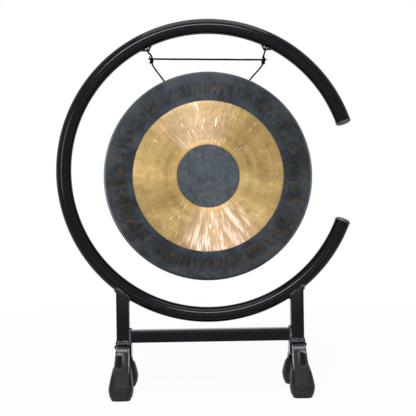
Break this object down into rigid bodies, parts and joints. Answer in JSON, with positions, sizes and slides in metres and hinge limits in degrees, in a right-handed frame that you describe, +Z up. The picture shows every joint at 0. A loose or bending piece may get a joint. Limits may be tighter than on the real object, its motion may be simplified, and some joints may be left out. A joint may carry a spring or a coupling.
{
  "type": "gong stand",
  "caption": "Floor stand with a C-shaped ring on welded posts and saddle feet in rubber boots, holding a gong hung from cords and a spreader rod.",
  "frame": {"origin": "middle of the whole stand's outline, on the floor", "axes": "+Z up, +X to the right as seen from the front, the side on which the ring is open, +Y to the rear"},
  "size_m": [0.6562, 0.2042, 0.8258],
  "materials": {
    "black_paint": "semi-gloss black powder coat",
    "cap_plastic": "satin black plastic",
    "bright_plate": "bright plating, reflecting a dark room",
    "zinc_plate": "bright zinc plate",
    "rubber": "matt black, moulded ribs",
    "bronze": "beaten bronze: oxidised slate outer zone and centre, lathed golden band between",
    "cord": "black braided cord"
  },
  "bodies": {
    "frame": {"ring_tube": "black_paint", "crossbar": "black_paint", "post_left": "black_paint", "post_right": "black_paint", "hanger_eye_left": "black_paint", "hanger_eye_right": "black_paint", "foot_bracket_left": "black_paint", "foot_bracket_right": "black_paint", "weld_ring_left": "black_paint", "weld_bar_left": "black_paint", "weld_foot_left": "black_paint", "foot_saddle_left": "bright_plate", "foot_bolt_left": "zinc_plate", "foot_washer_left": "zinc_plate", "foot_nut_left": "zinc_plate", "boot_front_left": "rubber", "boot_rear_left": "rubber", "weld_ring_right": "black_paint", "weld_bar_right": "black_paint", "weld_foot_right": "black_paint", "foot_saddle_right": "bright_plate", "foot_bolt_right": "zinc_plate", "foot_washer_right": "zinc_plate", "foot_nut_right": "zinc_plate", "boot_front_right": "rubber", "boot_rear_right": "rubber", "ring_cap_upper": "cap_plastic", "ring_cap_lower": "cap_plastic"},
    "hanger": {"cord_left": "cord", "cord_right": "cord", "spreader_rod": "black_paint"},
    "gong": {"gong": "bronze"}
  },
  "joints": [
    {"name": "hanger_swing", "type": "hinge", "parent": "frame", "child": "hanger", "pos_m": [0.00848, 0, 0.75622], "axis": [1, 0, 0], "range_deg": [-60, 60]},
    {"name": "gong_rock", "type": "hinge", "parent": "hanger", "child": "gong", "pos_m": [0.00848, 0, 0.68272], "axis": [1, 0, 0], "range_deg": [-18, 18]}
  ]
}
